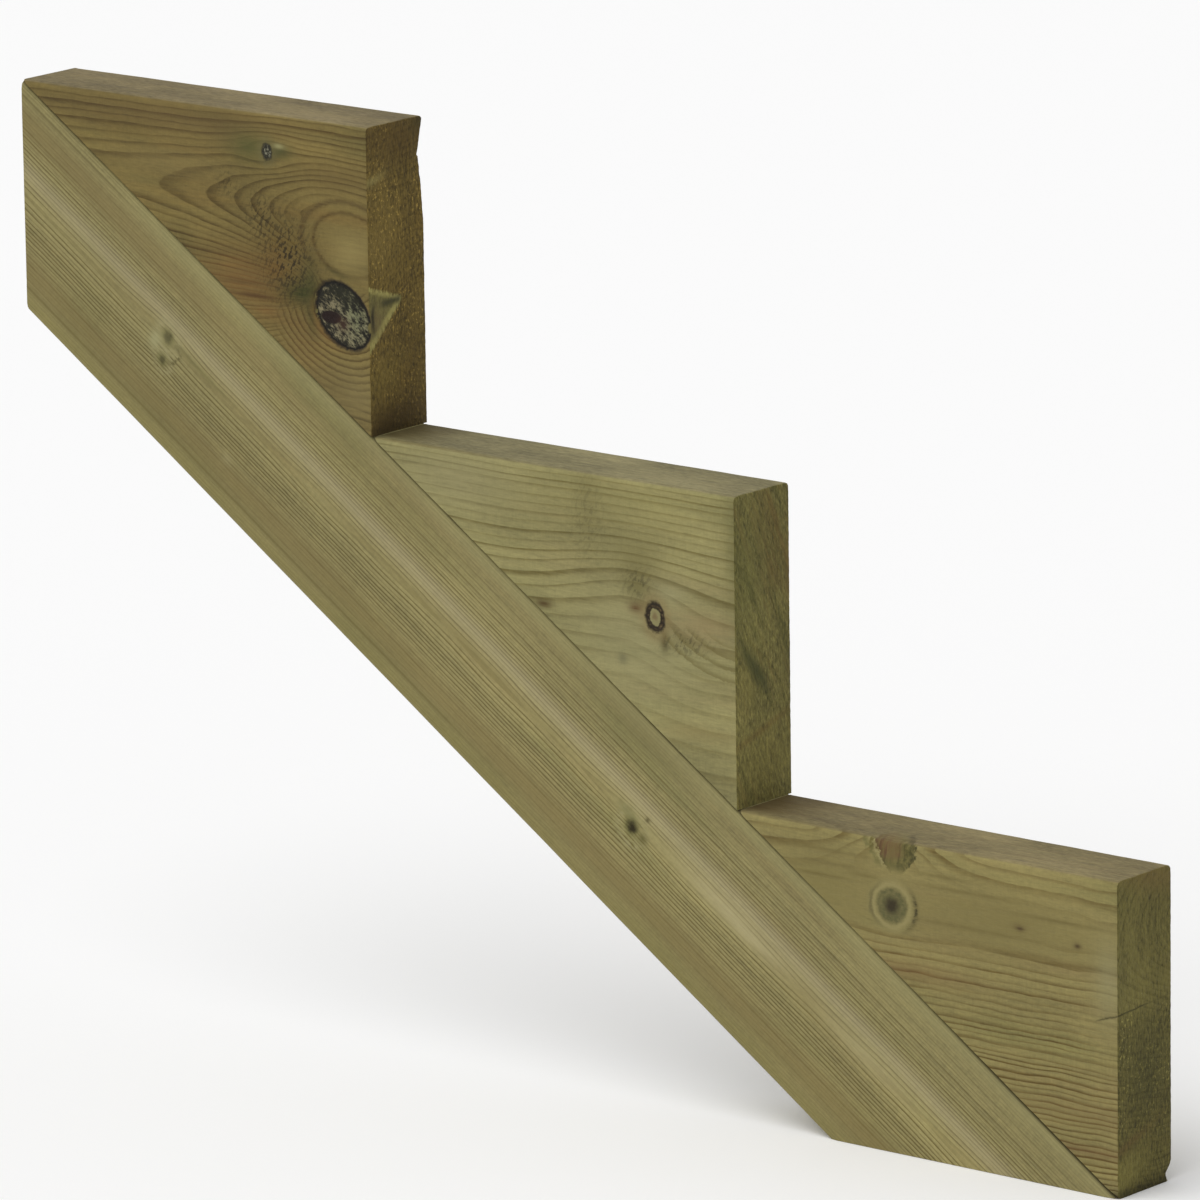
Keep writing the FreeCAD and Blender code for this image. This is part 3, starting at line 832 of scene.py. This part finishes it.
    # Drying crack at the riser face
    crack = (down - (CRACK[1] - (along - CRACK[0]) * CRACK_FALL) - (fibre - 0.5) * 1.5).band(0, 0.55)
    crack = crack * along.ease(234, 239)
    wood.shadow(crack * front, 0.5)
    wood.lay_top(0.75 - patch * 0.6, (120, 108, 76))
    # Darker where the tread meets the riser above: dirt, and painted shade in that corner
    corner_dirt_and_shade = deep.ease(2, 12) * (along - deep * 0.5 + wood.cloud * 60).ease(40, -10)
    wood.paint(upward * corner_dirt_and_shade * 0.75, (84, 68, 34))
    wood.paint(upward * deep.band(0, 5) * along.ease(80, 30) * 0.4, (128, 116, 70))
    wood.lay_ends((94, 88, 40), down.ease(66, 80) * down.ease(150, 130) * 1.4 + 0.1)
    wood.soaks((30, 2, 30, 9, 14, 0.4, (108, 84, 46)))
    wood.shadow(end * down.ease(66, 84), 0.27)
    wood.soaks(
        (24, 108, 24, 26, 0, 0.35, (70, 68, 34)),
        (6, 158, 22, 11, -18, 0.75, (120, 112, 58)),
        (10, 142, 20, 3, -18, 0.5, (92, 72, 38)),
    )
    slit = (down - 71.5 + deep * 0.05 - (fibre - 0.5) * 1.2).band(0, 0.45)
    wood.shadow(slit * end * (deep.ease(30, 20) * 0.7 + wood.pith * 2 + 0.2), 0.65)
    wood.shadow(along.ease(243, 249) * down.ease(163, 169), 0.5)
    wood.roughen(down.ease(60, 85) * 1.5 - 0.9)
    return wood.close()


def screw_steel():
    """Yellow zinc over steel, dulled in patches."""
    material, shader = new_material("passivated steel")
    pattern = Pattern(material.node_tree)
    coordinates = pattern.node("ShaderNodeTexCoord")
    place = Reading(pattern, coordinates.outputs["Object"])
    cloud = pattern.noise(place, (420.0, 420.0, 420.0), 4.0, 0.6)
    fine = pattern.noise(place, (2600.0, 2600.0, 2600.0), 2.0)
    tone = pattern.mix(cloud.ease(0.35, 0.65), tone_of(158, 140, 92), tone_of(196, 180, 128))
    tone = pattern.mix(cloud.ease(0.62, 0.75) * 0.6, tone, tone_of(120, 98, 70))
    pattern.feed(shader.inputs["Base Color"], tone)
    shader.inputs["Metallic"].default_value = 1.0
    pattern.feed(shader.inputs["Roughness"], 0.32 + cloud * 0.2 + fine * 0.1)
    pattern.relief(shader, fine, 0.3, 0.0001)
    return material


# Modelling


def alone(piece):
    """Make a piece the only one selected and active."""
    bpy.ops.object.select_all(action="DESELECT")
    piece.select_set(True)
    bpy.context.view_layer.objects.active = piece


def sawn_stock(name, size, centre):
    """Squared timber at its size and place, left in edit mode."""
    bpy.ops.object.select_all(action="DESELECT")
    bpy.ops.mesh.primitive_cube_add(size=1.0, location=centre, scale=size)
    piece = bpy.context.object
    piece.name = piece.data.name = name
    bpy.ops.object.transform_apply(location=True, rotation=True, scale=True)
    bpy.ops.object.mode_set(mode="EDIT")
    return piece


def saw(place, outward):
    """Crosscut or rip the timber and keep the side that the normal points away from."""
    bpy.ops.mesh.select_all(action="SELECT")
    cut = Vector(place) - Vector(outward) * KERF
    bpy.ops.mesh.bisect(plane_co=cut, plane_no=outward, use_fill=True, clear_outer=True)


def ease_edges(piece, radius, chosen):
    """Round the edges whose two ends are both chosen."""
    bpy.ops.mesh.select_mode(type="EDGE")
    bpy.ops.mesh.select_all(action="DESELECT")
    mesh = bmesh.from_edit_mesh(piece.data)
    for edge in mesh.edges:
        first, second = (vertex.co for vertex in edge.verts)
        level = abs(first.y - second.y) < 1e-6 and abs(first.z - second.z) < 1e-6
        if level and chosen(first) and chosen(second):
            edge.select_set(True)
    bmesh.update_edit_mesh(piece.data)
    bpy.ops.mesh.bevel(offset=radius, segments=5, profile=0.5, affect="EDGES")


def apply_modifier(piece, kind, **settings):
    alone(piece)
    modifier = piece.modifiers.new(kind.title(), kind)
    for name, value in settings.items():
        setattr(modifier, name, value)
    bpy.ops.object.modifier_apply(modifier=modifier.name)


def wood_skin(piece, width):
    """Fine even faces for the wood's own relief, left in edit mode."""
    bpy.ops.mesh.select_all(action="SELECT")
    bpy.ops.mesh.normals_make_consistent(inside=False)
    bpy.ops.object.mode_set(mode="OBJECT")
    apply_modifier(piece, "REMESH", mode="VOXEL", voxel_size=width, use_smooth_shade=True)
    bpy.ops.object.mode_set(mode="EDIT")


def carve(piece, name, depth, direction, share):
    """Move the surface by a depth where share, given along, deep and down in mm, is above 0."""
    tip = piece["tip"]
    group = piece.vertex_groups.new(name=name)
    for vertex in piece.data.vertices:
        x, y, z = vertex.co
        weight = share((x - tip[0]) / MM, (y - tip[1]) / MM, (tip[2] - z) / MM)
        if weight > 0.004:
            group.add([vertex.index], min(weight, 1.0), "REPLACE")
    apply_modifier(piece, "DISPLACE", direction=direction, strength=depth, mid_level=0.0, vertex_group=name)


def weather(piece, name, depth, width):
    """Slight hollows all over, always into the wood."""
    clouds = bpy.data.textures.new(name, "CLOUDS")
    clouds.noise_scale = width
    clouds.noise_depth = 2
    apply_modifier(piece, "DISPLACE", texture=clouds, texture_coords="LOCAL", strength=depth, mid_level=1.0)


def smooth(value):
    value = min(max(value, 0.0), 1.0)
    return value * value * (3 - 2 * value)


def ragged(along, deep, down, width):
    return noise.noise(Vector((along, deep, down)) / width)


def round_hollow(place, radius):
    """Share that falls away from the middle of a knot on the front face."""
    def share(along, deep, down):
        out = math.hypot(along - place[0], down - place[1]) / radius
        return smooth(1.3 - out) if deep < 3 else 0.0
    return share


def finish_piece(piece, node, material):
    """Shade, paint and hang a finished timber on the frame."""
    alone(piece)
    bpy.ops.object.shade_smooth_by_angle(angle=math.radians(40.0))
    piece.data.materials.clear()
    piece.data.materials.append(material)
    piece.vertex_groups.clear()
    if "tip" in piece:
        del piece["tip"]
    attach(piece, "root")
    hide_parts(node)


def block_stock(name, node, sizes):
    """Step block sawn from squared stock along the joint, with eased top edges and a fine skin."""
    tip = tip_of(node)
    spare = sizes.spare
    size = Vector((sizes.going + spare, sizes.thickness, sizes.rise + spare))
    piece = sawn_stock(name, size, tip + Vector((sizes.going - spare, sizes.thickness, -size.z)) / 2)
    ease_edges(piece, sizes.block_arris, lambda point: abs(point.z - tip.z) < 1e-5)
    wood_skin(piece, sizes.block_skin)
    saw(tip, (-math.sin(PITCH), 0.0, -math.cos(PITCH)))
    bpy.ops.object.mode_set(mode="OBJECT")
    piece["tip"] = tip
    weather(piece, name + " hollows", 0.0003, 0.03)

    def crosscut(along, deep, down):
        return 0.5 + 0.5 * ragged(along, deep, down, 2.2) if along > CROSSCUT_FROM else 0.0

    carve(piece, "crosscut", -0.00035, "X", crosscut)
    return piece


def screw_places(sizes):
    """Distances of the screws along the joint, two to each block."""
    joint = math.hypot(sizes.going, sizes.rise)
    slope = math.tan(PITCH)
    middle = joint - sizes.board_depth / slope - sizes.edge
    upper = [joint - middle * slope ** 2 + joint * step for step in range(STEPS - 1)]
    return [middle + joint * step for step in range(STEPS)] + upper + [(STEPS - 1) * joint + 0.72 * middle]


class STRINGER_OT_carriage_board(bpy.types.Operator):
    """Saw the carriage board, ease its long edges and countersink it for the screws"""
    bl_idname = "stringer.carriage_board"
    bl_label = "Carriage Board"

    def execute(self, context):
        settings = context.scene.stringer
        sizes = settings.sizes
        tip = tip_of(BOARD)
        joint = math.hypot(sizes.going, sizes.rise) * STEPS
        depth = sizes.board_depth
        stock = (joint + 2 * sizes.spare, sizes.thickness, depth)
        piece = sawn_stock("board_timber_piece", stock, (joint / 2, 0.0, -depth / 2))
        ease_edges(piece, sizes.board_arris, lambda point: min(abs(point.z), abs(point.z + depth)) < 1e-5)
        wood_skin(piece, sizes.board_skin)
        saw((0.0, 0.0, 0.0), (-math.cos(PITCH), 0.0, -math.sin(PITCH)))
        saw((joint, 0.0, 0.0), (math.sin(PITCH), 0.0, -math.cos(PITCH)))
        bpy.ops.object.mode_set(mode="OBJECT")
        piece["tip"] = (0.0, -sizes.thickness / 2, 0.0)
        weather(piece, "board hollows", 0.00025, 0.05)
        for name, place in (("upper knot", UPPER_KNOT), ("lower knot", LOWER_KNOT)):
            carve(piece, name, 0.0005, "Y", round_hollow(place, 5.0))
        for place in screw_places(sizes):
            bpy.ops.object.select_all(action="DESELECT")
            bpy.ops.mesh.primitive_cylinder_add(vertices=48, radius=sizes.head / 2 + KERF, depth=0.012,
                                                location=(place, 0.0, -depth))
            drill = context.object
            apply_modifier(piece, "BOOLEAN", object=drill, operation="DIFFERENCE", solver="MANIFOLD")
            bpy.data.meshes.remove(drill.data)
        alone(piece)
        piece.rotation_euler = (0.0, PITCH, 0.0)
        piece.location = (tip.x, 0.0, tip.z)
        bpy.ops.object.transform_apply(location=True, rotation=True, scale=True)
        finish_piece(piece, BOARD, board_timber(settings.board))
        return {"FINISHED"}


class STRINGER_OT_top_block(bpy.types.Operator):
    """Saw the top step block with its dead knot and the wane on its rear edge"""
    bl_idname = "stringer.top_block"
    bl_label = "Top Step Block"

    def execute(self, context):
        settings = context.scene.stringer
        piece = block_stock("top_block_piece", TOP, settings.sizes)

        def wane(along, deep, down):
            run = smooth((along - 175.0) / 75.0)
            fall = min((down - 1.5) / 20.0, (57.5 - down) / 36.0 * (0.75 if down > 22.0 else 1.0))
            rear = smooth((deep - 30.0) / 15.0)
            return run * max(fall, 0.0) * rear * (1.0 + 0.25 * ragged(along, deep, down, 5.0))

        def knot_out(along, down):
            across, drop = along - DEAD_KNOT[0], down - DEAD_KNOT[1]
            cosine, sine = math.cos(DEAD_KNOT_TURN), math.sin(DEAD_KNOT_TURN)
            return math.hypot((across * cosine + drop * sine) / DEAD_KNOT_SIZE[0],
                              (drop * cosine - across * sine) / DEAD_KNOT_SIZE[1])

        def knot_rim(along, deep, down):
            return math.exp(-((knot_out(along, down) - 1.0) / 0.07) ** 2) if deep < 2.5 else 0.0

        def knot_face(along, deep, down):
            inside = smooth((1.02 - knot_out(along, down)) / 0.12) if deep < 2.5 else 0.0
            return inside * (0.45 + 0.55 * ragged(along, deep, down, 3.2))

        carve(piece, "wane", -settings.sizes.wane_depth, "Y", wane)
        carve(piece, "knot rim", 0.0012, "Y", knot_rim)
        carve(piece, "knot face", 0.0009, "Y", knot_face)
        finish_piece(piece, TOP, top_timber(settings.top))
        return {"FINISHED"}


class STRINGER_OT_middle_block(bpy.types.Operator):
    """Saw the middle step block with its tight knot"""
    bl_idname = "stringer.middle_block"
    bl_label = "Middle Step Block"

    def execute(self, context):
        settings = context.scene.stringer
        piece = block_stock("middle_block_piece", MIDDLE, settings.sizes)

        def knot_ring(along, deep, down):
            out = math.hypot((along - MIDDLE_KNOT[0]) / 5.0, (down - MIDDLE_KNOT[1]) / 6.8)
            return math.exp(-((out - 1.0) / 0.22) ** 2) if deep < 2.5 else 0.0

        carve(piece, "knot ring", 0.0005, "Y", knot_ring)
        finish_piece(piece, MIDDLE, middle_timber(settings.middle))
        return {"FINISHED"}


class STRINGER_OT_bottom_block(bpy.types.Operator):
    """Saw the bottom step block with the knot torn from its edge, its crack and its broken corner"""
    bl_idname = "stringer.bottom_block"
    bl_label = "Bottom Step Block"

    def execute(self, context):
        settings = context.scene.stringer
        piece = block_stock("bottom_block_piece", BOTTOM, settings.sizes)

        def torn(along, deep, down):
            inside = smooth((16.0 - abs(along - 102.5)) / 4.0)
            near = smooth((13.0 - down - deep * 1.6) / 8.0)
            return inside * near * (0.7 + 0.5 * ragged(along, deep * 0.2, down * 0.2, 2.6))

        def crack(along, deep, down):
            line = abs(down - CRACK[1] + (along - CRACK[0]) * CRACK_FALL)
            return smooth(1.0 - line / 1.1) * smooth((along - 235.0) / 6.0) if deep < 2.0 else 0.0

        def chip(along, deep, down):
            return (smooth((along - 232.0) / 15.0) * smooth((down - 158.0) / 8.0)
                    * smooth((deep - 36.0) / 9.0) * (0.8 + 0.4 * ragged(along, deep, down, 3.0)))

        def toe(along, deep, down):
            wear_dirt_and_shade = smooth((along - 241.0) / 8.0) * smooth((down - 163.0) / 6.0) * smooth((9.0 - deep) / 7.0)
            return wear_dirt_and_shade * (0.6 + 0.6 * ragged(along, deep, down, 2.4))

        carve(piece, "torn knot back", 0.0018, "Y", torn)
        carve(piece, "torn knot down", -0.0014, "Z", torn)
        carve(piece, "crack", 0.0009, "Y", crack)
        carve(piece, "chip", -0.0048, "Y", chip)
        carve(piece, "toe", 0.002, "Y", toe)
        finish_piece(piece, BOTTOM, bottom_timber(settings.bottom))
        return {"FINISHED"}


class STRINGER_OT_screws(bpy.types.Operator):
    """Plate the long screws that hold the blocks from below"""
    bl_idname = "stringer.screws"
    bl_label = "Block Screws"

    def execute(self, context):
        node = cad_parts[SCREWS]
        node.data.materials.clear()
        node.data.materials.append(screw_steel())
        return {"FINISHED"}


class STRINGER_OT_stage(bpy.types.Operator):
    """Lay the floor, hang the lights and set the camera"""
    bl_idname = "stringer.stage"
    bl_label = "Stage"

    def execute(self, context):
        scene = context.scene
        bpy.ops.object.select_all(action="DESELECT")
        bpy.ops.mesh.primitive_plane_add(size=60.0)
        floor = context.object
        floor.name = "studio_floor"
        paper, shader = new_material("white paper")
        shader.inputs["Base Color"].default_value = (0.96, 0.96, 0.96, 1.0)
        shader.inputs["Roughness"].default_value = 0.9
        floor.data.materials.append(paper)

        world = bpy.data.worlds.new("studio")
        scene.world = world
        world.use_nodes = True
        tree = world.node_tree
        fill = tree.nodes["Background"]
        fill.inputs["Color"].default_value = (1.0, 1.0, 1.0, 1.0)
        fill.inputs["Strength"].default_value = 0.6
        white = tree.nodes.new("ShaderNodeBackground")
        white.inputs["Color"].default_value = (1.0, 1.0, 1.0, 1.0)
        path = tree.nodes.new("ShaderNodeLightPath")
        chosen = tree.nodes.new("ShaderNodeMixShader")
        tree.links.new(path.outputs["Is Camera Ray"], chosen.inputs[0])
        tree.links.new(fill.outputs[0], chosen.inputs[1])
        tree.links.new(white.outputs[0], chosen.inputs[2])
        tree.links.new(chosen.outputs[0], tree.nodes["World Output"].inputs["Surface"])

        bpy.ops.object.light_add(type="SUN", location=(-1.0, -3.0, 4.0))
        key = context.object
        key.name = "key_light"
        key.data.energy = 1.5
        key.data.angle = math.radians(55.0)
        key.rotation_mode = "QUATERNION"
        key.rotation_quaternion = Vector((-0.2, -0.45, 0.87)).to_track_quat("Z", "Y")

        bpy.ops.object.camera_add(location=(3.20795, -4.21005, 1.54718))
        camera = context.object
        camera.name = "camera"
        turn = Euler((math.radians(90.0 - 13.2234), 0.0, math.radians(39.5223))).to_matrix()
        roll = Matrix.Rotation(math.radians(-0.8208), 3, "Z")
        camera.rotation_euler = (turn @ roll).to_euler()
        camera.data.lens = 314.568
        camera.data.sensor_width = 36.0
        camera.data.clip_start = 0.1
        camera.data.clip_end = 200.0
        scene.camera = camera
        scene.view_settings.view_transform = "Standard"
        return {"FINISHED"}


MAKERS = (
    STRINGER_OT_stage,
    STRINGER_OT_carriage_board,
    STRINGER_OT_top_block,
    STRINGER_OT_middle_block,
    STRINGER_OT_bottom_block,
    STRINGER_OT_screws,
)
PATTERNS = (growth_rings, hill, knot_bend, knot_eye, sawn_fibres, treatment_stain, cut_end, torn_grain)


class STRINGER_PT_sidebar(bpy.types.Panel):
    """The stringer's pieces, sizes and colours"""
    bl_idname = "STRINGER_PT_sidebar"
    bl_label = "Stair Stringer"
    bl_space_type = "VIEW_3D"
    bl_region_type = "UI"
    bl_category = "Stringer"

    def draw(self, context):
        layout = self.layout
        for maker in MAKERS:
            layout.operator(maker.bl_idname)
        settings = context.scene.stringer
        for group in (settings.sizes, settings.board, settings.top, settings.middle, settings.bottom):
            box = layout.box()
            for name in group.__annotations__:
                box.prop(group, name)


CLASSES = (
    STRINGER_PG_sizes,
    STRINGER_PG_finish,
    STRINGER_PG_settings,
    *MAKERS,
    STRINGER_PT_sidebar,
)


def register():
    for kind in CLASSES:
        bpy.utils.register_class(kind)
    bpy.types.Scene.stringer = PointerProperty(type=STRINGER_PG_settings)


def unregister():
    del bpy.types.Scene.stringer
    for kind in reversed(CLASSES):
        bpy.utils.unregister_class(kind)


def choose_finishes(settings):
    """Give each timber its own colours."""
    for timber, tints in FINISHES.items():
        finish = getattr(settings, timber)
        finish.pale, finish.ring, finish.warm, finish.green = (linear(*screen) for screen in tints)


def main():
    register()
    choose_finishes(bpy.context.scene.stringer)
    for pattern in PATTERNS:
        pattern()
    bpy.ops.stringer.stage()
    bpy.ops.stringer.carriage_board()
    bpy.ops.stringer.top_block()
    bpy.ops.stringer.middle_block()
    bpy.ops.stringer.bottom_block()
    bpy.ops.stringer.screws()


if __name__ == "__main__":
    main()
